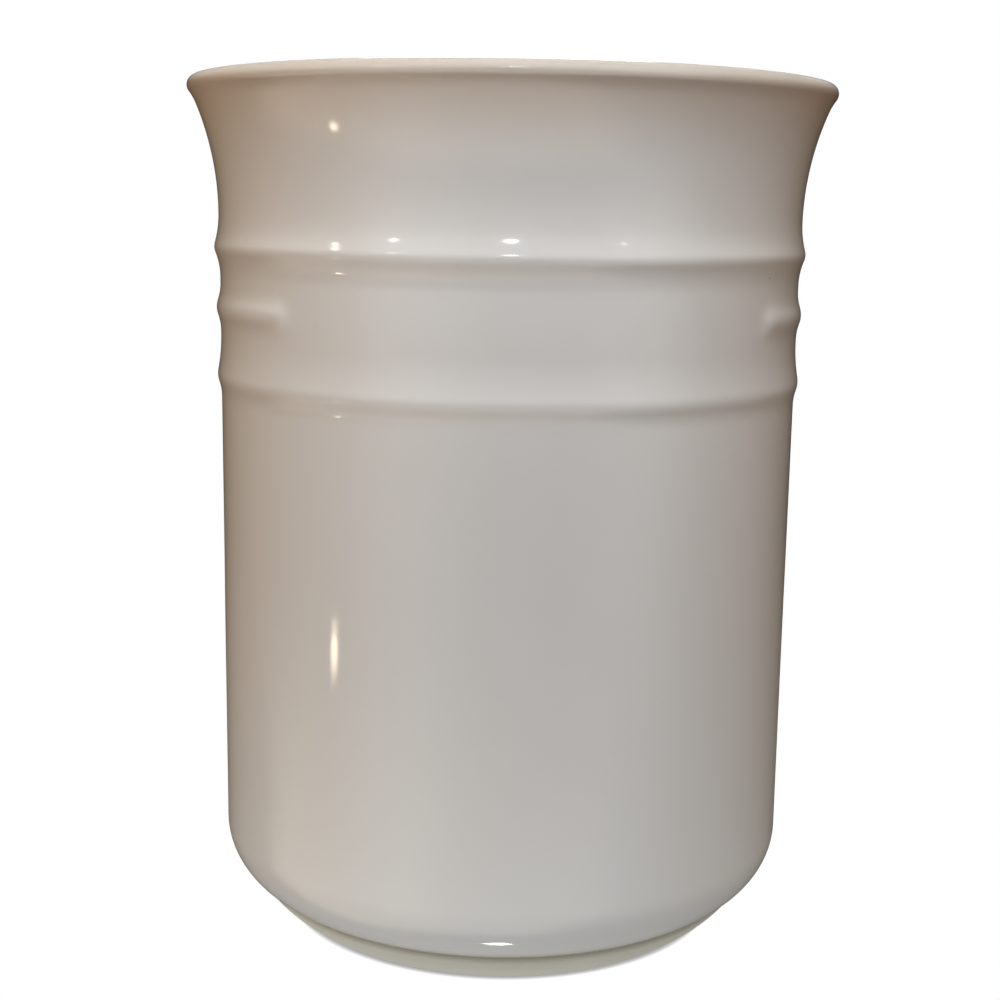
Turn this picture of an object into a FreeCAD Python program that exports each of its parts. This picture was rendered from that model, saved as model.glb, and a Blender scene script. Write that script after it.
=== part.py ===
import FreeCAD, Part

import math
import os

# A white glazed stoneware crock for kitchen utensils, in millimetres.
# The origin is the middle of the foot ring's underside, +Z is up, and the front faces -Y.

# Driving sizes of the finished, glazed crock
HEIGHT = 152.0
WALL_RADIUS = 52.2
WALL_THICKNESS = 6.0
FLOOR_THICKNESS = 7.0
INNER_CORNER_RADIUS = 12.0
GLAZE_THICKNESS = 0.4

# Rim: a trumpet flare that turns out more tightly just under a rounded lip
FLARE_OVERHANG = 5.2
FLARE_RADIUS = 50.3
LIP_ROOT_RADIUS = 9.0
LIP_UNDERCUT = 37.0
LIP_OUTER_RADIUS = 1.6
LIP_INNER_RADIUS = 2.2
NECK_STEP = 0.2

# Beads: raised rings under the neck; the middle one stops short of the bare front panel
# Above the upper and lower crests the wall swells out slowly, and below them it drops back more steeply
UPPER_BEAD_CREST_RADIUS = 2.6
UPPER_BEAD_RELIEF = 1.0
UPPER_BEAD_ROOT_ABOVE = 18.2
UPPER_BEAD_ROOT_BELOW = 12.0
MIDDLE_BEAD_CREST_RADIUS = 4.2
MIDDLE_BEAD_RELIEF = 0.7
MIDDLE_BEAD_ROOT = 9.0
LOWER_BEAD_CREST_RADIUS = 4.2
LOWER_BEAD_RELIEF = 0.65
LOWER_BEAD_ROOT_ABOVE = 32.0
LOWER_BEAD_ROOT_BELOW = 9.0
GAP_OVER_MIDDLE_BEAD = 1.08
GAP_UNDER_MIDDLE_BEAD = 0.8
PANEL_ANGLE = 102.0

# Foot: the heel tucks in to a fine groove over a bevelled ring, wiped bare, with a glazed recess inside it
# Slopes are degrees from level
HEEL_RADIUS = 11.8
HEEL_SLOPE = 28.0
FOOT_HEIGHT = 6.4
FOOT_FACE_LOW_SLOPE = 30.0
FOOT_FACE_HIGH_SLOPE = 50.0
FOOT_SHOULDER_RADIUS = 1.0
FOOT_FLAT_WIDTH = 4.2
FOOT_EDGE_RADIUS = 0.5
GROOVE_RADIUS = 0.5
GROOVE_TUCK = 122.0
RECESS_HEIGHT = 3.0
RECESS_CORNER_RADIUS = 1.2
RECESS_CORNER_SHARE = 0.8  # of the recess's glazed side that its corner may take up
BARE_RUN = 0.5

# Worked out from the sizes above
neck_radius = WALL_RADIUS + NECK_STEP
rim_radius = neck_radius + FLARE_OVERHANG
inner_radius = WALL_RADIUS - WALL_THICKNESS
floor_height = RECESS_HEIGHT + FLOOR_THICKNESS
bare_height = FOOT_EDGE_RADIUS + BARE_RUN
recess_corner = min(RECESS_CORNER_RADIUS, RECESS_CORNER_SHARE * (RECESS_HEIGHT - bare_height))
crest_radius = rim_radius - LIP_OUTER_RADIUS


def angle_of_rise(rise, radius):
    """Degrees that an arc of this radius turns through while it moves sideways by rise."""
    return math.degrees(math.acos(1 - rise / radius))


def sine(angle):
    return math.sin(math.radians(angle))


def cosine(angle):
    return math.cos(math.radians(angle))


def bead_angle(relief, crest, root):
    """Degrees between the wall and the steepest part of a bead's side, from its relief and its two radii."""
    return angle_of_rise(relief, crest + root)


def bead_reach(relief, crest, root):
    """Height from a bead's crest to where the root of this side meets the wall."""
    return (crest + root) * sine(bead_angle(relief, crest, root))


def arc_run(radius, first, last):
    """How far out an arc leads while its heading turns to the left; a negative radius turns to the right."""
    return radius * (sine(last) - sine(first))


def arc_rise(radius, first, last):
    """How far up the same arc leads."""
    return radius * (cosine(first) - cosine(last))


# Heel: a round turn from the glaze line up to the wall
glaze_line_radius = WALL_RADIUS - arc_run(HEEL_RADIUS, HEEL_SLOPE, 90.0)
heel_top = FOOT_HEIGHT + arc_rise(HEEL_RADIUS, HEEL_SLOPE, 90.0)

# Foot ring: its bevelled face takes up the height that its edge, shoulder and groove leave
foot_arcs = (
    (FOOT_EDGE_RADIUS, 0.0, FOOT_FACE_LOW_SLOPE),
    (FOOT_SHOULDER_RADIUS, FOOT_FACE_HIGH_SLOPE, GROOVE_TUCK),
    (-GROOVE_RADIUS, GROOVE_TUCK, HEEL_SLOPE),
)
bare_top_radius = glaze_line_radius - GLAZE_THICKNESS * sine(HEEL_SLOPE)
bare_top_height = FOOT_HEIGHT + GLAZE_THICKNESS * cosine(HEEL_SLOPE)
face_rise = bare_top_height - sum(arc_rise(*arc) for arc in foot_arcs)
face_radius = face_rise / (cosine(FOOT_FACE_LOW_SLOPE) - cosine(FOOT_FACE_HIGH_SLOPE))
face_run = arc_run(face_radius, FOOT_FACE_LOW_SLOPE, FOOT_FACE_HIGH_SLOPE)
foot_flat_radius = bare_top_radius - face_run - sum(arc_run(*arc) for arc in foot_arcs)
foot_inner_radius = foot_flat_radius - FOOT_FLAT_WIDTH - FOOT_EDGE_RADIUS

# Flare: its turn follows from the overhang that is left after the lip and the hollow under it
lip_reach = LIP_OUTER_RADIUS - (LIP_ROOT_RADIUS + LIP_OUTER_RADIUS) * cosine(LIP_UNDERCUT)
flare_turn = math.degrees(
    math.acos((FLARE_RADIUS - FLARE_OVERHANG + lip_reach) / (FLARE_RADIUS - LIP_ROOT_RADIUS))
)

# Heights, from the rim down
lip_root_height = HEIGHT - LIP_OUTER_RADIUS - (LIP_ROOT_RADIUS + LIP_OUTER_RADIUS) * sine(LIP_UNDERCUT)
flare_start = lip_root_height - (FLARE_RADIUS - LIP_ROOT_RADIUS) * sine(flare_turn)
upper_bead_above = (UPPER_BEAD_RELIEF - NECK_STEP, UPPER_BEAD_CREST_RADIUS, UPPER_BEAD_ROOT_ABOVE)
upper_bead_below = (UPPER_BEAD_RELIEF, UPPER_BEAD_CREST_RADIUS, UPPER_BEAD_ROOT_BELOW)
lower_bead_above = (LOWER_BEAD_RELIEF, LOWER_BEAD_CREST_RADIUS, LOWER_BEAD_ROOT_ABOVE)
lower_bead_below = (LOWER_BEAD_RELIEF, LOWER_BEAD_CREST_RADIUS, LOWER_BEAD_ROOT_BELOW)
upper_bead_height = flare_start - bead_reach(*upper_bead_above)
upper_bead_foot = upper_bead_height - bead_reach(*upper_bead_below)
middle_bead_reach = bead_reach(MIDDLE_BEAD_RELIEF, MIDDLE_BEAD_CREST_RADIUS, MIDDLE_BEAD_ROOT)
middle_bead_height = upper_bead_foot - GAP_OVER_MIDDLE_BEAD - middle_bead_reach
lower_bead_top = middle_bead_height - middle_bead_reach - GAP_UNDER_MIDDLE_BEAD
lower_bead_height = lower_bead_top - bead_reach(*lower_bead_above)
lower_bead_foot = lower_bead_height - bead_reach(*lower_bead_below)

# The inside starts to flare lower down than the outside, so that the wall thins towards the lip
inner_flare_radius = FLARE_RADIUS + WALL_THICKNESS
inner_flare_reach = crest_radius - LIP_INNER_RADIUS - inner_radius
inner_flare_turn = angle_of_rise(inner_flare_reach, inner_flare_radius - LIP_INNER_RADIUS)
inner_flare_drop = inner_flare_radius * sine(inner_flare_turn)
inner_lip_drop = LIP_INNER_RADIUS * (1 - sine(inner_flare_turn))
inner_wall_top = HEIGHT - inner_lip_drop - inner_flare_drop

AXIS = FreeCAD.Vector(0, 0, 1)
ORIGIN = FreeCAD.Vector(0, 0, 0)
FRONT = -90.0  # degrees from +X
ON_WALL = 0.001  # an edge this close to the wall lies on it
EDGE_SAMPLES = 9


def at(radius, height):
    """A point of the drawing plane, which runs from the axis to the front of the crock."""
    return FreeCAD.Vector(0, -radius, height)


class Outline:
    """A line in the drawing plane with the open air on its right.

    With an inset it draws the same line that far to the left, which is under the glaze.
    """

    def __init__(self, radius, height, heading, inset):
        self.inset = inset
        self.heading = heading
        self.edges = []
        self.radius, self.height = radius, height
        self.radius, self.height = self.to_the_left(inset)
        self.start = at(self.radius, self.height)

    def to_the_left(self, distance):
        """The radius and height of a point beside the end of the line."""
        return self.radius - distance * sine(self.heading), self.height + distance * cosine(self.heading)

    def end(self):
        return at(self.radius, self.height)

    def run(self, length):
        """Straight on."""
        begin = self.end()
        self.radius += length * cosine(self.heading)
        self.height += length * sine(self.heading)
        self.edges.append(Part.LineSegment(begin, self.end()).toShape())

    def bend(self, radius, turn):
        """An arc that turns to the left by turn degrees, or to the right if it is negative."""
        side = math.copysign(1.0, turn)
        arm = side * radius - self.inset
        centre_radius, centre_height = self.to_the_left(arm)
        points = [self.end()]
        first_heading = self.heading
        for share in (0.5, 1.0):
            self.heading = first_heading + share * turn
            self.radius, self.height = centre_radius, centre_height
            self.radius, self.height = self.to_the_left(-arm)
            points.append(self.end())
        self.edges.append(Part.Arc(*points).toShape())

    def bead(self, below, above):
        """A raised ring: hollow root, round crest, hollow root. Each side is its relief, crest and root."""
        _, crest, root_below = below
        root_above = above[-1]
        self.bend(root_below, -bead_angle(*below))
        self.bend(crest, bead_angle(*below) + bead_angle(*above))
        self.bend(root_above, -bead_angle(*above))


def outside(inset):
    """From the glaze line above the foot ring to the crest of the lip, without the middle bead."""
    line = Outline(glaze_line_radius, FOOT_HEIGHT, HEEL_SLOPE, inset)
    line.bend(HEEL_RADIUS, 90.0 - HEEL_SLOPE)
    line.run(lower_bead_foot - heel_top)
    line.bead(lower_bead_below, lower_bead_above)
    line.run(upper_bead_foot - lower_bead_top)
    line.bead(upper_bead_below, upper_bead_above)
    line.bend(FLARE_RADIUS, -flare_turn)
    line.bend(LIP_ROOT_RADIUS, flare_turn - LIP_UNDERCUT)
    line.bend(LIP_OUTER_RADIUS, 90.0 + LIP_UNDERCUT)
    return line


def inside(inset):
    """From the crest of the lip to the middle of the floor."""
    line = Outline(crest_radius, HEIGHT, 180.0, inset)
    line.bend(LIP_INNER_RADIUS, 90.0 - inner_flare_turn)
    line.bend(inner_flare_radius, inner_flare_turn)
    line.run(inner_wall_top - floor_height - INNER_CORNER_RADIUS)
    line.bend(INNER_CORNER_RADIUS, -90.0)
    line.run(inner_radius - INNER_CORNER_RADIUS)
    return line


def recess(inset):
    """From the middle of the underside to the glaze line inside the foot ring."""
    line = Outline(0.0, RECESS_HEIGHT, 0.0, inset)
    line.run(foot_inner_radius - GLAZE_THICKNESS - recess_corner)
    line.bend(recess_corner, -90.0)
    line.run(RECESS_HEIGHT - recess_corner - bare_height)
    return line


def bare_foot():
    """The foot ring's bare clay, from the glaze line inside it to the one outside it."""
    line = Outline(foot_inner_radius, bare_height, -90.0, 0.0)
    line.run(BARE_RUN)
    line.bend(FOOT_EDGE_RADIUS, 90.0)
    line.run(FOOT_FLAT_WIDTH)
    line.bend(FOOT_EDGE_RADIUS, FOOT_FACE_LOW_SLOPE)
    line.bend(face_radius, FOOT_FACE_HIGH_SLOPE - FOOT_FACE_LOW_SLOPE)
    line.bend(FOOT_SHOULDER_RADIUS, GROOVE_TUCK - FOOT_FACE_HIGH_SLOPE)
    line.bend(GROOVE_RADIUS, HEEL_SLOPE - GROOVE_TUCK)
    return line


def straight(begin, end):
    return Part.LineSegment(begin, end).toShape()


def turned(edges):
    """A solid of revolution from the edges of a closed outline."""
    ring = Part.Wire(Part.__sortEdges__(edges))
    return Part.Face(ring).revolve(ORIGIN, AXIS, 360.0)


def coat(draw):
    """The layer of glaze between a drawn line and the same line under the glaze."""
    top = draw(0.0)
    under = draw(GLAZE_THICKNESS)
    ends = [straight(top.start, under.start), straight(top.end(), under.end())]
    return turned(top.edges + under.edges + ends)


def middle_bead(inset):
    """The bead that runs round the back, with a domed end at each side of the front panel."""
    core_radius = WALL_RADIUS + MIDDLE_BEAD_RELIEF - MIDDLE_BEAD_CREST_RADIUS
    thickness = MIDDLE_BEAD_CREST_RADIUS - inset
    level = FreeCAD.Vector(0, 0, middle_bead_height)
    right_end = FRONT + PANEL_ANGLE / 2
    left_end = right_end - PANEL_ANGLE
    bead = Part.makeTorus(core_radius, thickness, level, AXIS, -180.0, 180.0, 360.0 - PANEL_ANGLE)
    bead.rotate(ORIGIN, AXIS, right_end)
    hub = FreeCAD.Vector(core_radius, 0, middle_bead_height)
    for angle, flip in ((right_end, 180.0), (left_end, 0.0)):
        dome = Part.makeSphere(thickness, hub, AXIS, -90.0, 90.0, 180.0)
        dome.rotate(hub, AXIS, flip)
        dome.rotate(ORIGIN, AXIS, angle)
        bead = bead.fuse(dome)
    seat = Part.makeCylinder(WALL_RADIUS - WALL_THICKNESS / 2, HEIGHT)
    return bead.removeSplitter().cut(seat)


def with_middle_bead(shape, inset):
    """The shape with the middle bead blended onto its wall."""
    joined = shape.fuse(middle_bead(inset)).removeSplitter()
    wall = WALL_RADIUS - inset
    roots = [edge for edge in joined.Edges if is_bead_root(edge, wall)]
    return joined.makeFillet(MIDDLE_BEAD_ROOT + inset, roots)


def is_bead_root(edge, wall):
    """True for an edge that lies on the wall, round the middle bead."""
    if edge.Degenerated:
        return False
    points = edge.discretize(EDGE_SAMPLES)
    on_wall = all(abs(math.hypot(p.x, p.y) - wall) < ON_WALL for p in points)
    return on_wall and all(abs(p.z - middle_bead_height) < middle_bead_reach for p in points)


def stoneware_body():
    """The fired clay vessel: wall, floor, lip, beads and bare foot ring."""
    parts = [recess(GLAZE_THICKNESS), bare_foot(), outside(GLAZE_THICKNESS), inside(GLAZE_THICKNESS)]
    edges = [edge for part in parts for edge in part.edges]
    edges.append(straight(parts[-1].end(), parts[0].start))
    return with_middle_bead(turned(edges), GLAZE_THICKNESS)


def one_solid(shape):
    """The only solid of a shape; stops if it fell apart or came out empty."""
    (solid,) = shape.Solids
    return solid


os.makedirs("parts", exist_ok=True)
clay = stoneware_body()
nodes = {
    "stoneware_body": clay,
    "outer_glaze": with_middle_bead(coat(outside), 0.0).cut(clay),
    "inner_glaze": coat(inside),
    "underside_glaze": coat(recess),
}
for name, shape in nodes.items():
    solid = one_solid(shape)
    print(name, "valid" if solid.isValid() else "not valid", round(solid.Volume), "cubic millimetres")
    solid.exportStep(f"parts/{name}.step")
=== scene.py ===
import math

import bpy
from mathutils import Matrix, Vector, noise


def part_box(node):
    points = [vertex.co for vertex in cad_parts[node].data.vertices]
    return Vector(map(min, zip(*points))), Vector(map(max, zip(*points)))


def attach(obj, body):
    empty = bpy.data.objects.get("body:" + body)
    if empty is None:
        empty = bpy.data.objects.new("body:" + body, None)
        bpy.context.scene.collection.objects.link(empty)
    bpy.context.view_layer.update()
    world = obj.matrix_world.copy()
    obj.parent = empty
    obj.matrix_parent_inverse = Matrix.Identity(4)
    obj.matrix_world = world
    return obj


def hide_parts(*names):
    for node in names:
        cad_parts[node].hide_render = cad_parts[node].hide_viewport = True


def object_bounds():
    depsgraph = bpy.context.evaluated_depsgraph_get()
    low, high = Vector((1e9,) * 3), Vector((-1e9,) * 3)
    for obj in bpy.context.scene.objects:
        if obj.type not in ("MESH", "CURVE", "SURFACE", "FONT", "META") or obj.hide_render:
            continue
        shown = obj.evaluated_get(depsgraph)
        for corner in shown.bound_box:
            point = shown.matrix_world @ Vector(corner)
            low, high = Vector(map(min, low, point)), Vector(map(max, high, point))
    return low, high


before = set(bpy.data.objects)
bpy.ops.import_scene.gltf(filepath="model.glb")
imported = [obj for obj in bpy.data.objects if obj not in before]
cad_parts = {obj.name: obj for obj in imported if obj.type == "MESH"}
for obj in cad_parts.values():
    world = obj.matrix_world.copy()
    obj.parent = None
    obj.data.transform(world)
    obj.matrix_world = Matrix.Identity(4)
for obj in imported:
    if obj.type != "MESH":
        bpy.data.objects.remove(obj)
cad_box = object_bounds()

# Stoneware body
# One vessel of buff stoneware, cast in a mould, with three raised beads under the neck and a flared lip.
# Glaze hides all of it but the low foot ring, which is wiped bare so that it can stand on a kiln shelf.

# Sizes are in millimetres and angles in degrees, here and below.
MM = 0.001
SEGMENTS = 360
ARC_TURN = 6.0  # most that an arc turns from one point to the next
ARC_RUN = 1.0  # most that it runs
WALL_STEP = 4.0
BEAD_STEP = 0.5
LINER_STEP = 2.5
HIDDEN = 3  # under the glaze, steps are this many times as long
SHARP_ANGLE = 50.0
WALL_RADIUS = 52.2
WALL_THICKNESS = 6.0
NECK_RADIUS = 52.4
FLARE_RADIUS = 50.3
LIP_OUTER_RADIUS = 1.6
LIP_INNER_RADIUS = 2.2
LIP_ROOT_RADIUS = 9.0
LIP_UNDERCUT = 37.0
INNER_CORNER_RADIUS = 12.0
RECESS_CORNER_RADIUS = 1.2
HEEL_RADIUS = 11.8
HEEL_SLOPE = 28.0
FOOT_FACE_LOW_SLOPE = 30.0
FOOT_FACE_HIGH_SLOPE = 50.0
FOOT_SHOULDER_RADIUS = 1.0
FOOT_EDGE_RADIUS = 0.5
GROOVE_RADIUS = 0.5
GROOVE_TUCK = 122.0
UPPER_BEAD = {"height": 122.7, "relief": 1.0, "crest": 2.6, "root_above": 18.2, "root_below": 12.0}
MIDDLE_BEAD = {"height": 112.07, "relief": 0.7, "crest": 4.2, "root": 9.0}
LOWER_BEAD = {"height": 100.2, "relief": 0.65, "crest": 4.2, "root_above": 32.0, "root_below": 9.0}
BEADS_FROM = 94.0
PANEL_ANGLE = 102.0  # of the plain front, between the ends of the middle bead
WARP = 0.06  # most that the long waves of the fired wall stray from true
WARP_SPACING = 38.0
RIPPLE = 0.02  # most that the short waves add
RIPPLE_SPACING = 13.0

rim_height = cad_box[1].z / MM
rim_radius = cad_box[1].x / MM
glaze_depth = rim_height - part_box("stoneware_body")[1].z / MM
foot_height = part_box("outer_glaze")[0].z / MM
crest_radius = rim_radius - LIP_OUTER_RADIUS
floor_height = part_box("inner_glaze")[0].z / MM + glaze_depth
recess_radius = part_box("underside_glaze")[1].x / MM
recess_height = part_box("underside_glaze")[1].z / MM - glaze_depth
bare_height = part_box("underside_glaze")[0].z / MM
inner_radius = WALL_RADIUS - WALL_THICKNESS
heel_top = foot_height + HEEL_RADIUS * math.cos(math.radians(HEEL_SLOPE))


def arc(centre_radius, centre_height, radius, first, last, coarse=1):
    """Points along an arc of a half section, between two angles in degrees from outward."""
    turn = last - first
    run = math.radians(abs(turn)) * radius
    steps = math.ceil(max(abs(turn) / ARC_TURN, run / ARC_RUN) / coarse)
    points = []
    for step in range(steps + 1):
        angle = math.radians(first + turn * step / steps)
        out = centre_radius + radius * math.cos(angle)
        up = centre_height + radius * math.sin(angle)
        points.append((out, up))
    return points


def turn_of_rise(rise, radius):
    """Degrees that an arc of this radius turns through while it moves sideways by rise."""
    return math.degrees(math.acos(1 - rise / radius))


def bead_relief(distance, relief, crest, root):
    """How far a bead stands out at a distance from its crest line: round crest, hollow root."""
    turn = math.radians(turn_of_rise(relief, crest + root))
    half_width = (crest + root) * math.sin(turn)
    if distance < crest * math.sin(turn):
        return relief - crest + math.sqrt(crest**2 - distance**2)
    if distance < half_width:
        return root - math.sqrt(root**2 - (half_width - distance) ** 2)
    return 0.0


def wall_radius(height):
    """Outside of the wall from the heel to the flare, with the two beads that run all the way round."""
    radius = NECK_RADIUS if height > UPPER_BEAD["height"] else WALL_RADIUS
    rise = UPPER_BEAD["relief"] + WALL_RADIUS - radius
    for bead, relief in ((UPPER_BEAD, rise), (LOWER_BEAD, LOWER_BEAD["relief"])):
        root = bead["root_above"] if height > bead["height"] else bead["root_below"]
        radius += bead_relief(abs(height - bead["height"]), relief, bead["crest"], root)
    return radius


def steps_between(low, high, step):
    """Sizes from low to high, evenly spaced and at most a step apart."""
    count = max(1, math.ceil((high - low) / step))
    return [low + (high - low) * index / count for index in range(count + 1)]


def outside(inset, coarse=1):
    """Half section of the outside, from the glaze line above the foot up to the crest of the lip.

    With an inset it lies that far under the glaze, where it can be drawn coarser.
    """
    lip_height = rim_height - LIP_OUTER_RADIUS
    under = math.radians(LIP_UNDERCUT)
    round_part = (LIP_ROOT_RADIUS + LIP_OUTER_RADIUS) * math.cos(under)
    flare_share = FLARE_RADIUS + LIP_OUTER_RADIUS - (rim_radius - NECK_RADIUS) - round_part
    turn = math.acos(flare_share / (FLARE_RADIUS - LIP_ROOT_RADIUS))
    slope = 180 - math.degrees(turn)
    root_height = lip_height - (LIP_ROOT_RADIUS + LIP_OUTER_RADIUS) * math.sin(under)
    flare_start = root_height - (FLARE_RADIUS - LIP_ROOT_RADIUS) * math.sin(turn)
    heights = steps_between(heel_top, BEADS_FROM, WALL_STEP * coarse)[1:]
    heights += steps_between(BEADS_FROM, flare_start, BEAD_STEP * coarse)[1:]
    flare, root, lip = FLARE_RADIUS + inset, LIP_ROOT_RADIUS + inset, LIP_OUTER_RADIUS - inset
    points = arc(WALL_RADIUS - HEEL_RADIUS, heel_top, HEEL_RADIUS - inset, HEEL_SLOPE - 90, 0, coarse)
    points += [(wall_radius(height) - inset, height) for height in heights]
    points += arc(NECK_RADIUS + FLARE_RADIUS, flare_start, flare, 180, slope, coarse)[1:]
    points += arc(crest_radius + round_part, root_height, root, slope, 180 - LIP_UNDERCUT, coarse)[1:]
    return points + arc(crest_radius, lip_height, lip, -LIP_UNDERCUT, 90, coarse)[1:]


def inside(inset):
    """Half section of the inside, from the crest of the lip down to the middle of the floor."""
    flare = FLARE_RADIUS + WALL_THICKNESS
    turn = turn_of_rise(crest_radius - LIP_INNER_RADIUS - inner_radius, flare - LIP_INNER_RADIUS)
    drop = (flare - LIP_INNER_RADIUS) * math.sin(math.radians(turn)) + LIP_INNER_RADIUS
    wall_top = rim_height - drop
    points = arc(crest_radius, rim_height - LIP_INNER_RADIUS, LIP_INNER_RADIUS - inset, 90, 180 - turn)
    points += arc(inner_radius + flare, wall_top, flare - inset, 180 - turn, 180)[1:]
    corner_top = floor_height + INNER_CORNER_RADIUS
    heights = steps_between(corner_top, wall_top, LINER_STEP)[1:-1]
    points += [(inner_radius + inset, height) for height in reversed(heights)]
    points += arc(inner_radius - INNER_CORNER_RADIUS, corner_top, INNER_CORNER_RADIUS + inset, 0, -90)
    floor_radii = steps_between(0.0, inner_radius - INNER_CORNER_RADIUS, LINER_STEP)[:-1]
    return points + [(radius, floor_height - inset) for radius in reversed(floor_radii)]


def recess(inset):
    """Half section of the hollow under the floor, from its middle to the glaze line in the foot ring."""
    side = recess_radius - glaze_depth
    centre = (side - RECESS_CORNER_RADIUS, recess_height - RECESS_CORNER_RADIUS)
    radii = steps_between(0.0, centre[0], LINER_STEP)[:-1]
    points = [(radius, recess_height + inset) for radius in radii]
    points += arc(*centre, RECESS_CORNER_RADIUS + inset, 90, 0)
    return points + [(side + inset, bare_height)]


def bends(heading, turns):
    """Points along a chain of arcs in a half section, each a radius and the heading that it ends at."""
    points = [(0.0, 0.0)]
    for radius, last in turns:
        lean = math.copysign(90, last - heading)
        out, up = math.cos(math.radians(heading + lean)), math.sin(math.radians(heading + lean))
        centre = (points[-1][0] + radius * out, points[-1][1] + radius * up)
        points += arc(*centre, radius, heading - lean, last - lean)[1:]
        heading = last
    return points


def foot_ring():
    """Half section of the bare ring: flat underside, bevelled face, and the groove under the glaze."""
    top_radius, top_height = outside(glaze_depth)[0]
    edge = [(FOOT_EDGE_RADIUS, FOOT_FACE_LOW_SLOPE)]
    groove = [(FOOT_SHOULDER_RADIUS, GROOVE_TUCK), (GROOVE_RADIUS, HEEL_SLOPE)]
    edge_rise = bends(0.0, edge)[-1][1]
    groove_rise = bends(FOOT_FACE_HIGH_SLOPE, groove)[-1][1]
    low, high = math.radians(FOOT_FACE_LOW_SLOPE), math.radians(FOOT_FACE_HIGH_SLOPE)
    face_radius = (top_height - edge_rise - groove_rise) / (math.cos(low) - math.cos(high))
    outer = bends(0.0, edge + [(face_radius, FOOT_FACE_HIGH_SLOPE)] + groove)
    shift = top_radius - outer[-1][0]
    inner = arc(recess_radius + FOOT_EDGE_RADIUS, FOOT_EDGE_RADIUS, FOOT_EDGE_RADIUS, 180, 270)
    return inner + [(radius + shift, height) for radius, height in outer[:-1]]


def unevenness(angle, height):
    """How far the fired wall strays from true, in millimetres."""
    way = Vector((WALL_RADIUS * math.cos(angle), WALL_RADIUS * math.sin(angle), height))
    return WARP * noise.noise(way / WARP_SPACING) + RIPPLE * noise.noise(way / RIPPLE_SPACING)


def place(radius, height, angle):
    """Where a point of a half section lies on the finished crock, at an angle from the front."""
    swell = unevenness(angle, height) * radius / WALL_RADIUS
    if radius > WALL_RADIUS - WALL_THICKNESS / 2:
        inside_panel = max(0.0, math.radians(PANEL_ANGLE) / 2 - abs(angle)) * WALL_RADIUS
        distance = math.hypot(height - MIDDLE_BEAD["height"], inside_panel)
        swell += bead_relief(distance, MIDDLE_BEAD["relief"], MIDDLE_BEAD["crest"], MIDDLE_BEAD["root"])
    reach = (radius + swell) * MM
    return reach * math.sin(angle), -reach * math.cos(angle), height * MM


def turned(name, outline, closed):
    """A mesh turned from a half section: each point makes a ring, or one vertex on the axis."""
    places = []
    rings = []
    for radius, height in outline:
        count = SEGMENTS if radius > 0 else 1
        rings.append([len(places) + index for index in range(count)])
        places += [place(radius, height, math.tau * (index / SEGMENTS - 0.5)) for index in range(count)]
    pairs = list(zip(rings, rings[1:]))
    if closed:
        pairs.append((rings[-1], rings[0]))
    faces = []
    for first, second in pairs:
        for here in range(SEGMENTS):
            there = (here + 1) % SEGMENTS
            corners = [first[here % len(first)], first[there % len(first)]]
            corners += [second[there % len(second)], second[here % len(second)]]
            corners = list(dict.fromkeys(corners))
            if len(corners) > 2:
                faces.append(corners)
    mesh = bpy.data.meshes.new(name)
    mesh.from_pydata(places, [], faces)
    mesh.shade_smooth()
    mesh.set_sharp_from_angle(angle=math.radians(SHARP_ANGLE))
    piece = bpy.data.objects.new(name, mesh)
    bpy.context.collection.objects.link(piece)
    return piece


def linear(hex_colour):
    """An sRGB hex colour as the linear RGBA that a socket takes."""
    rgba = []
    for start in (1, 3, 5):
        level = int(hex_colour[start : start + 2], 16) / 255
        rgba.append(level / 12.92 if level <= 0.04045 else ((level + 0.055) / 1.055) ** 2.4)
    return rgba + [1.0]


def add(tree, kind, links=None, **settings):
    """Adds a node. Settings are its properties, and links fill its inputs with values or sockets."""
    new = tree.nodes.new(kind)
    for name, value in settings.items():
        setattr(new, name, value)
    for name, value in (links or {}).items():
        if isinstance(value, bpy.types.NodeSocket):
            tree.links.new(value, new.inputs[name])
        else:
            new.inputs[name].default_value = value
    return new


def new_material(name):
    """An empty material and its node tree."""
    material = bpy.data.materials.new(name)
    material.use_nodes = True
    material.node_tree.nodes.clear()
    return material, material.node_tree


def per_metre(size):
    """Texture scale that gives features of a size in millimetres."""
    return 1 / (size * MM)


# A colour mix shares its sockets' names with other kinds of mix, so they go by number.
MIX_FIRST = 6
MIX_SECOND = 7
MIX_RESULT = 2

# Vitrified buff stoneware, wiped with a damp sponge before firing. It looks creamy and matt, with a faint
# blush and a sandy grain, drawn at the size of the coarsest grit because finer grit wouldn't show.
GRAIN_SIZE = 0.5
GRAIN_DEPTH = 0.05
GRAIN_STRENGTH = 0.4
BLUSH_SIZE = 14.0
CLAY_SMOOTHEST = 0.45
CLAY_ROUGHEST = 0.7
stoneware, tree = new_material("wiped_buff_stoneware")
where = add(tree, "ShaderNodeTexCoord").outputs["Object"]
fine = {"Vector": where, "Scale": per_metre(GRAIN_SIZE), "Detail": 3.0}
grain = add(tree, "ShaderNodeTexNoise", fine).outputs["Fac"]
broad = {"Vector": where, "Scale": per_metre(BLUSH_SIZE), "Detail": 2.0}
blush = add(tree, "ShaderNodeTexNoise", broad).outputs["Fac"]
clays = {"Factor": blush, MIX_FIRST: linear("#cfcbbd"), MIX_SECOND: linear("#c5c0ae")}
tone = add(tree, "ShaderNodeMix", clays, data_type="RGBA").outputs[MIX_RESULT]
matt = {"Value": grain, "To Min": CLAY_SMOOTHEST, "To Max": CLAY_ROUGHEST}
rough = add(tree, "ShaderNodeMapRange", matt).outputs["Result"]
sandy = {"Height": grain, "Strength": GRAIN_STRENGTH, "Distance": GRAIN_DEPTH * MM}
bump = add(tree, "ShaderNodeBump", sandy).outputs["Normal"]
finish = {"Base Color": tone, "Roughness": rough, "IOR": 1.5, "Normal": bump}
shader = add(tree, "ShaderNodeBsdfPrincipled", finish)
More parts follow.
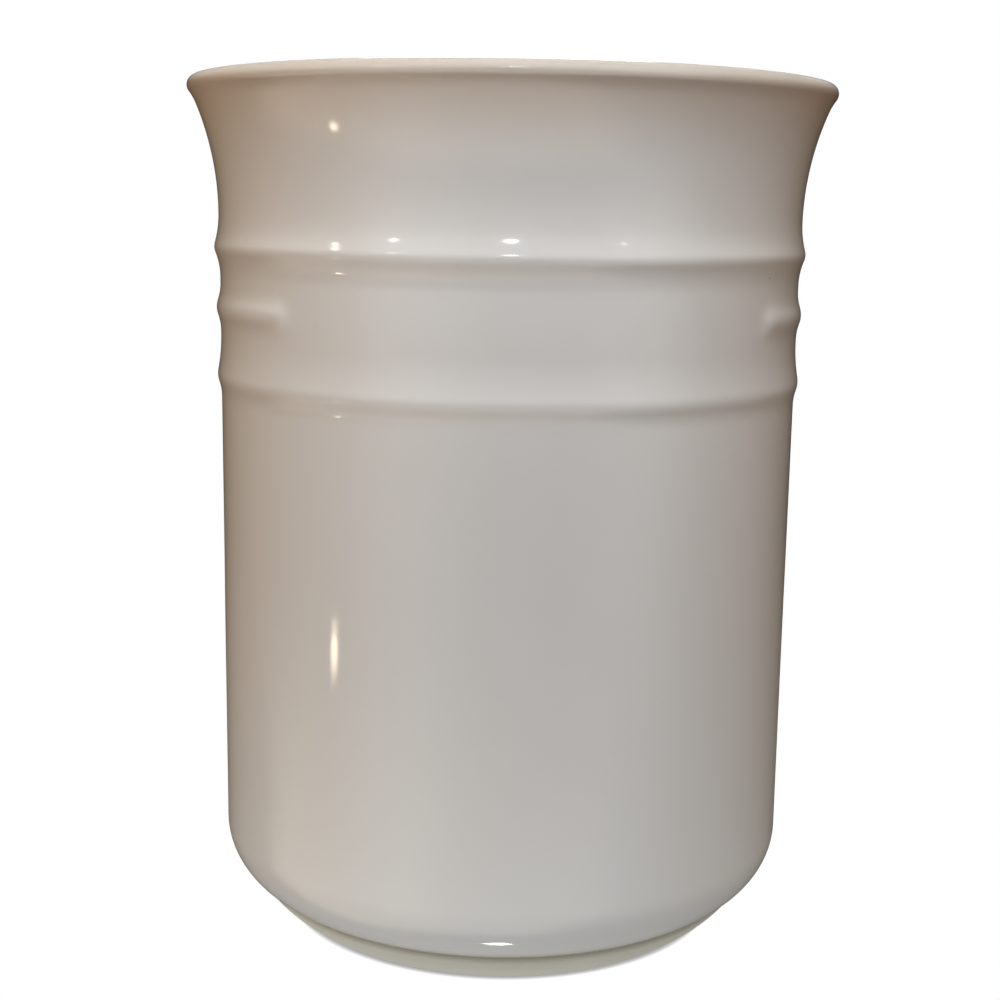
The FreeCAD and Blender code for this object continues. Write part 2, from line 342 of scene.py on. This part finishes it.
add(tree, "ShaderNodeOutputMaterial", {"Surface": shader.outputs["BSDF"]})

section = recess(glaze_depth) + foot_ring() + outside(glaze_depth, HIDDEN) + inside(glaze_depth)[1:]
body = turned("crock_body", section, False)
body.data.materials.append(stoneware)
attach(body, "root")
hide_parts("stoneware_body")

# Outer glaze
# A coat of opaque white glaze, poured on and fired to a glassy gloss. It runs from the crest of the lip
# down over the beads and round the heel, where its wiped edge has drawn up into a small roll.

# Opaque white stoneware glaze, fired to a gloss. It gives clear mirror images with a slight ripple, over a
# faintly mottled white with specks. It turns creamy at the lip, where it thins and where painted warm
# light tints it, and buff at the foot, where it is toasted and where painted shade darkens it under the
# heel.
THIN_AND_WARM_LIT_FROM = 137.0  # up to the lip
TOASTED_AND_SHADED_TO = 8.3  # up from its lower edge
TOAST_AND_SHADE = 0.9
MOTTLE_SIZE = 26.0
SPECK_SPACING = 16.0
SPECKED_SHARE = 0.4
SPECK_RADIUS = 0.13
SPECK_EDGE = 0.19
PEEL_SIZE = 2.4
PEEL_DEPTH = 0.03
PEEL_STRENGTH = 0.15
GLAZE_SMOOTHEST = 0.06
GLAZE_ROUGHEST = 0.12
glaze, tree = new_material("white_gloss_glaze")
where = add(tree, "ShaderNodeTexCoord").outputs["Object"]
cloudy = {"Vector": where, "Scale": per_metre(MOTTLE_SIZE), "Detail": 3.0}
mottle = add(tree, "ShaderNodeTexNoise", cloudy).outputs["Fac"]
whites = {"Factor": mottle, MIX_FIRST: linear("#ebe8e3"), MIX_SECOND: linear("#e7e4de")}
thick = add(tree, "ShaderNodeMix", whites, data_type="RGBA").outputs[MIX_RESULT]
height = add(tree, "ShaderNodeSeparateXYZ", {"Vector": where}).outputs["Z"]
# Painted warm light: the tone turns creamy towards the lip, partly where the glaze thins and partly
# standing in for warm light falling on the top.
near_lip = {"Value": height, "From Min": THIN_AND_WARM_LIT_FROM * MM, "From Max": rim_height * MM}
thin_and_warm_lit = add(tree, "ShaderNodeMapRange", near_lip, interpolation_type="SMOOTHSTEP").outputs["Result"]
creamy = {"Factor": thin_and_warm_lit, MIX_FIRST: thick, MIX_SECOND: linear("#e1d5c6")}
coat = add(tree, "ShaderNodeMix", creamy, data_type="RGBA").outputs[MIX_RESULT]
# Painted shade: the tone turns buff and darker towards the glaze's lower edge, partly a toasted edge and
# partly standing in for the shade under the heel.
near_foot = {"Value": height, "From Min": TOASTED_AND_SHADED_TO * MM, "From Max": foot_height * MM}
near_foot["To Max"] = TOAST_AND_SHADE
toast_and_shade = add(tree, "ShaderNodeMapRange", near_foot, interpolation_type="SMOOTHSTEP").outputs["Result"]
buff = {"Factor": toast_and_shade, MIX_FIRST: coat, MIX_SECOND: linear("#b9b198")}
toasted_shaded_coat = add(tree, "ShaderNodeMix", buff, data_type="RGBA").outputs[MIX_RESULT]
cells = add(tree, "ShaderNodeTexVoronoi", {"Vector": where, "Scale": per_metre(SPECK_SPACING)}).outputs
few = {0: cells["Color"], 1: 1 - SPECKED_SHARE}
rare = add(tree, "ShaderNodeMath", few, operation="GREATER_THAN").outputs["Value"]
core = {"From Min": SPECK_EDGE / SPECK_SPACING, "From Max": SPECK_RADIUS / SPECK_SPACING}
spot = add(tree, "ShaderNodeMapRange", {"Value": cells["Distance"], **core}).outputs["Result"]
speck = add(tree, "ShaderNodeMath", {0: spot, 1: rare}, operation="MULTIPLY").outputs["Value"]
iron = {"Factor": speck, MIX_FIRST: toasted_shaded_coat, MIX_SECOND: linear("#7d7264")}
tone = add(tree, "ShaderNodeMix", iron, data_type="RGBA").outputs[MIX_RESULT]
rippled = {"Vector": where, "Scale": per_metre(PEEL_SIZE), "Detail": 2.0}
peel = add(tree, "ShaderNodeTexNoise", rippled).outputs["Fac"]
shallow = {"Height": peel, "Strength": PEEL_STRENGTH, "Distance": PEEL_DEPTH * MM}
bump = add(tree, "ShaderNodeBump", shallow).outputs["Normal"]
glossy = {"Value": mottle, "To Min": GLAZE_SMOOTHEST, "To Max": GLAZE_ROUGHEST}
rough = add(tree, "ShaderNodeMapRange", glossy).outputs["Result"]
finish = {"Base Color": tone, "Roughness": rough, "IOR": 1.52, "Normal": bump}
shader = add(tree, "ShaderNodeBsdfPrincipled", finish)
add(tree, "ShaderNodeOutputMaterial", {"Surface": shader.outputs["BSDF"]})

upper = outside(0.0)
under = outside(glaze_depth, HIDDEN)
middle = ((upper[0][0] + under[0][0]) / 2, (upper[0][1] + under[0][1]) / 2)
roll = arc(*middle, glaze_depth / 2, HEEL_SLOPE + 90, HEEL_SLOPE + 270)[1:-1]
outer = turned("outer_glaze_coat", roll + upper + under[::-1], True)
outer.data.materials.append(glaze)
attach(outer, "root")
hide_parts("outer_glaze")

# Inner glaze
# The same white glaze, rinsed round the inside and poured out.
# It meets the outer coat on the crest of the lip.
inner = turned("inner_glaze_coat", inside(0.0) + inside(glaze_depth)[::-1], True)
inner.data.materials.append(glaze)
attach(inner, "root")
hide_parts("inner_glaze")

# Underside glaze
# A patch of the same glaze in the hollow under the floor, buff and darker all over from the toast and
# painted shade of the foot.
# The bare ring cuts it off from the outer coat.
underside = turned("underside_glaze_coat", recess(0.0) + recess(glaze_depth)[::-1], True)
underside.data.materials.append(glaze)
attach(underside, "root")
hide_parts("underside_glaze")

# Floor
# A plain sheet of white paper for the crock to stand on, with a warm table beyond it. To the camera it is
# white but for the shade close under the foot; to the crock it is the light that comes up from below.
FLOOR_SIZE = 4000.0
half = FLOOR_SIZE / 2 * MM
corners = [(-half, -half, 0), (half, -half, 0), (half, half, 0), (-half, half, 0)]
mesh = bpy.data.meshes.new("floor")
mesh.from_pydata(corners, [], [(0, 1, 2, 3)])
floor = bpy.data.objects.new("floor", mesh)
bpy.context.collection.objects.link(floor)
floor.visible_glossy = False

# Matt white paper under even light. It glows by itself, so that it looks flat and white to the camera, and
# its light on the crock is stronger from the left and from close under the foot.
PAPER_EDGE = 100.0
TABLE_START = 200.0
LEFT_GLOW = 1.01
RIGHT_GLOW = 0.65
FOOT_GLOW = 1.3
FOOT_GLOW_TO = 45.0
OPEN_GLOW = 0.82
OPEN_GLOW_FROM = 75.0
CONTACT_SHADE = 0.3
CONTACT_SHADE_REACH = 0.8
paper, tree = new_material("lit_white_paper")
where = add(tree, "ShaderNodeTexCoord").outputs["Object"]
reach = add(tree, "ShaderNodeVectorMath", {0: where}, operation="LENGTH").outputs["Value"]
past_edge = {"Value": reach, "From Min": PAPER_EDGE * MM, "From Max": TABLE_START * MM}
beyond = add(tree, "ShaderNodeMapRange", past_edge).outputs["Result"]
sheets = {"Factor": beyond, MIX_FIRST: linear("#e2e5e8"), MIX_SECOND: linear("#89603a")}
hue = add(tree, "ShaderNodeMix", sheets, data_type="RGBA").outputs[MIX_RESULT]
side = add(tree, "ShaderNodeSeparateXYZ", {"Vector": where}).outputs["X"]
across = {"Value": side, "From Min": -PAPER_EDGE * MM, "From Max": PAPER_EDGE * MM}
across.update({"To Min": LEFT_GLOW, "To Max": RIGHT_GLOW})
from_left = add(tree, "ShaderNodeMapRange", across).outputs["Result"]
outward = {"Value": reach, "From Min": FOOT_GLOW_TO * MM, "From Max": OPEN_GLOW_FROM * MM}
outward.update({"To Min": FOOT_GLOW, "To Max": OPEN_GLOW})
from_foot = add(tree, "ShaderNodeMapRange", outward).outputs["Result"]
glow = add(tree, "ShaderNodeMath", {0: from_left, 1: from_foot}, operation="MULTIPLY").outputs["Value"]
bounce = add(tree, "ShaderNodeEmission", {"Color": hue, "Strength": glow}).outputs["Emission"]
close = {"Distance": CONTACT_SHADE_REACH * MM}
open_air = add(tree, "ShaderNodeAmbientOcclusion", close).outputs["AO"]
contact = {"Value": open_air, "To Min": CONTACT_SHADE, "To Max": 1.0}
shade = add(tree, "ShaderNodeMapRange", contact).outputs["Result"]
backdrop = add(tree, "ShaderNodeEmission", {"Strength": shade}).outputs["Emission"]
seen = add(tree, "ShaderNodeLightPath").outputs["Is Camera Ray"]
both = add(tree, "ShaderNodeMixShader", {"Fac": seen, 1: bounce, 2: backdrop})
add(tree, "ShaderNodeOutputMaterial", {"Surface": both.outputs["Shader"]})
floor.data.materials.append(paper)


# Light
# Plain soft studio light: a panel high in front with a weak one below it, a warm one at each side and a
# white one behind. These only shade the crock; the sparks are lamps that only its gloss mirrors.
def lamp(name, azimuth, elevation, distance, width, watts, colour, mirrored, tall=1.0):
    """A light aimed at the crock, at degrees from the front towards the right and above the table.

    Its distance and width are in metres. It is round, or an oval tall times as high as it is wide.
    """
    light = bpy.data.lights.new(name, "AREA")
    light.shape = "ELLIPSE"
    light.size = width
    light.size_y = width * tall
    light.energy = watts
    light.color = linear(colour)[:3]
    holder = bpy.data.objects.new(name, light)
    bpy.context.collection.objects.link(holder)
    turn, rise = math.radians(azimuth), math.radians(elevation)
    out = Vector((math.sin(turn) * math.cos(rise), -math.cos(turn) * math.cos(rise), math.sin(rise)))
    holder.location = Vector((0, 0, rim_height / 2 * MM)) + out * distance
    holder.rotation_mode = "QUATERNION"
    holder.rotation_quaternion = out.to_track_quat("Z", "Y")
    holder.visible_camera = False
    holder.visible_glossy = mirrored
    holder.visible_diffuse = not mirrored


lamp("key", azimuth=-2, elevation=50, distance=0.47, width=0.35,
     watts=1.6, colour="#eff7ff", mirrored=False)
lamp("front_fill", azimuth=-2, elevation=5, distance=0.9, width=0.5,
     watts=0.45, colour="#eff8ff", mirrored=False)
lamp("left_fill", azimuth=-87, elevation=28, distance=0.8, width=0.5,
     watts=1.85, colour="#ffdfb8", mirrored=False)
lamp("right_fill", azimuth=82, elevation=35, distance=0.8, width=0.5,
     watts=0.98, colour="#ffd8aa", mirrored=False)
lamp("back_fill", azimuth=180, elevation=11, distance=0.9, width=0.3,
     watts=6.0, colour="#fffaf4", mirrored=False)
lamp("far_spark", azimuth=-74.5, elevation=20.5, distance=1.5, width=0.08,
     watts=0.35, colour="#fff6e6", mirrored=True)
lamp("left_spark", azimuth=-49, elevation=18.5, distance=1.5, width=0.06,
     watts=0.6, colour="#ffffff", mirrored=True, tall=0.6)
lamp("front_spark", azimuth=-4.8, elevation=19, distance=1.5, width=0.11,
     watts=1.2, colour="#ffffff", mirrored=True, tall=0.5)
lamp("right_spark", azimuth=37, elevation=19, distance=1.5, width=0.07,
     watts=0.1, colour="#ffffff", mirrored=True)
lamp("top_spark", azimuth=175, elevation=35, distance=1.5, width=0.5,
     watts=4.0, colour="#ffffff", mirrored=True)
lamp("low_spark", azimuth=-7, elevation=-81, distance=1.0, width=0.1,
     watts=0.6, colour="#fff8ee", mirrored=True)
lamp("warm_spark", azimuth=-72, elevation=-15.8, distance=0.63, width=0.033,
     watts=0.045, colour="#ffe9c4", mirrored=True, tall=0.6)

# Room
# A dim warm room that only the gloss mirrors, with a pale wall in front, brighter at its sides and above
# the table, a white ceiling, and a pale table top, bright in front and to the left. The camera sees white.
FRONT_LEFT = (-0.6, -0.8, 0.0)
ROOM_GLOW = 0.4
world = bpy.data.worlds.new("studio")
bpy.context.scene.world = world
world.use_nodes = True
world.cycles_visibility.diffuse = False
tree = world.node_tree
tree.nodes.clear()
facing = add(tree, "ShaderNodeTexCoord").outputs["Generated"]
way = add(tree, "ShaderNodeSeparateXYZ", {"Vector": facing}).outputs
sideways = add(tree, "ShaderNodeMath", {0: way["X"]}, operation="ABSOLUTE").outputs["Value"]
towards = {0: facing, 1: FRONT_LEFT}
front_left = add(tree, "ShaderNodeVectorMath", towards, operation="DOT_PRODUCT").outputs["Value"]

# Each fades in smoothly from where it is dark to where it is bright, along one direction of view.
fades = {
    "wall_above_table": {"along": way["Z"], "dark": -0.16, "bright": -0.03, "glow": 0.6},
    "wall_sides": {"along": sideways, "dark": 0.25, "bright": 0.7, "glow": 0.7},
    "wall_front": {"along": way["Y"], "dark": -0.2, "bright": -0.7, "glow": 1.0},
    "ceiling": {"along": way["Z"], "dark": 0.05, "bright": 0.35, "glow": 0.6},
    "table_front": {"along": front_left, "dark": 0.1, "bright": 0.45, "glow": 1.4},
    "table_far": {"along": way["Z"], "dark": -0.22, "bright": -0.42, "glow": 1.0},
    "table_near": {"along": way["Z"], "dark": -0.96, "bright": -0.82, "glow": 1.0},
    "table_round": {"along": way["Z"], "dark": -0.17, "bright": -0.3, "glow": 0.07},
}
parts = {}
for name, fade in fades.items():
    limits = {"Value": fade["along"], "From Min": fade["dark"], "From Max": fade["bright"]}
    limits["To Max"] = fade["glow"]
    faded = add(tree, "ShaderNodeMapRange", limits, interpolation_type="SMOOTHSTEP")
    parts[name] = faded.outputs["Result"]

# The parts join into a wall and a table, each step from two that are there already.
merges = (
    ("wall_height", "wall_above_table", "ADD", "wall_sides"),
    ("wall", "wall_height", "MULTIPLY", "wall_front"),
    ("table_depth", "table_far", "MULTIPLY", "table_near"),
    ("table_bright", "table_front", "MULTIPLY", "table_depth"),
    ("table", "table_bright", "ADD", "table_round"),
)
for name, first, operation, second in merges:
    merged = add(tree, "ShaderNodeMath", {0: parts[first], 1: parts[second]}, operation=operation)
    parts[name] = merged.outputs["Value"]

dim = {"Color": linear("#4a4034"), "Strength": ROOM_GLOW}
mirrored = add(tree, "ShaderNodeBackground", dim).outputs["Background"]
for name, colour in (("wall", "#f4f6f8"), ("ceiling", "#f4f1ec"), ("table", "#fff0dc")):
    lit = {"Color": linear(colour), "Strength": parts[name]}
    glow = add(tree, "ShaderNodeBackground", lit).outputs["Background"]
    mirrored = add(tree, "ShaderNodeAddShader", {0: mirrored, 1: glow}).outputs["Shader"]
white = {"Color": linear("#ffffff"), "Strength": 1.0}
backdrop = add(tree, "ShaderNodeBackground", white).outputs["Background"]
seen = add(tree, "ShaderNodeLightPath").outputs["Is Camera Ray"]
both = add(tree, "ShaderNodeMixShader", {"Fac": seen, 1: mirrored, 2: backdrop})
add(tree, "ShaderNodeOutputWorld", {"Surface": both.outputs["Shader"]})

# Camera
# A camera level with the neck, just left of the front and looking slightly down.
# Its place, lens and tilt were fitted to the outline of the crock.
CAMERA_DISTANCE = 304.8
CAMERA_BEARING = -5.36
CAMERA_HEIGHT = 131.1
CAMERA_HEADING = -5.16
CAMERA_TILT = -10.22
CAMERA_ROLL = 0.9
CAMERA_LENS = 59.4
CAMERA_SENSOR = 36.0
lens = bpy.data.cameras.new("camera")
lens.lens = CAMERA_LENS
lens.sensor_width = CAMERA_SENSOR
camera = bpy.data.objects.new("camera", lens)
bpy.context.collection.objects.link(camera)
bearing = math.radians(CAMERA_BEARING)
to_right = CAMERA_DISTANCE * math.sin(bearing)
to_front = CAMERA_DISTANCE * math.cos(bearing)
stand = Vector((to_right, -to_front, CAMERA_HEIGHT)) * MM
heading = Matrix.Rotation(math.radians(CAMERA_HEADING), 4, "Z")
tilt = Matrix.Rotation(math.radians(90 + CAMERA_TILT), 4, "X")
level = Matrix.Rotation(math.radians(CAMERA_ROLL), 4, "Z")
camera.matrix_world = Matrix.Translation(stand) @ heading @ tilt @ level
bpy.context.scene.camera = camera
bpy.context.scene.view_settings.view_transform = "Standard"
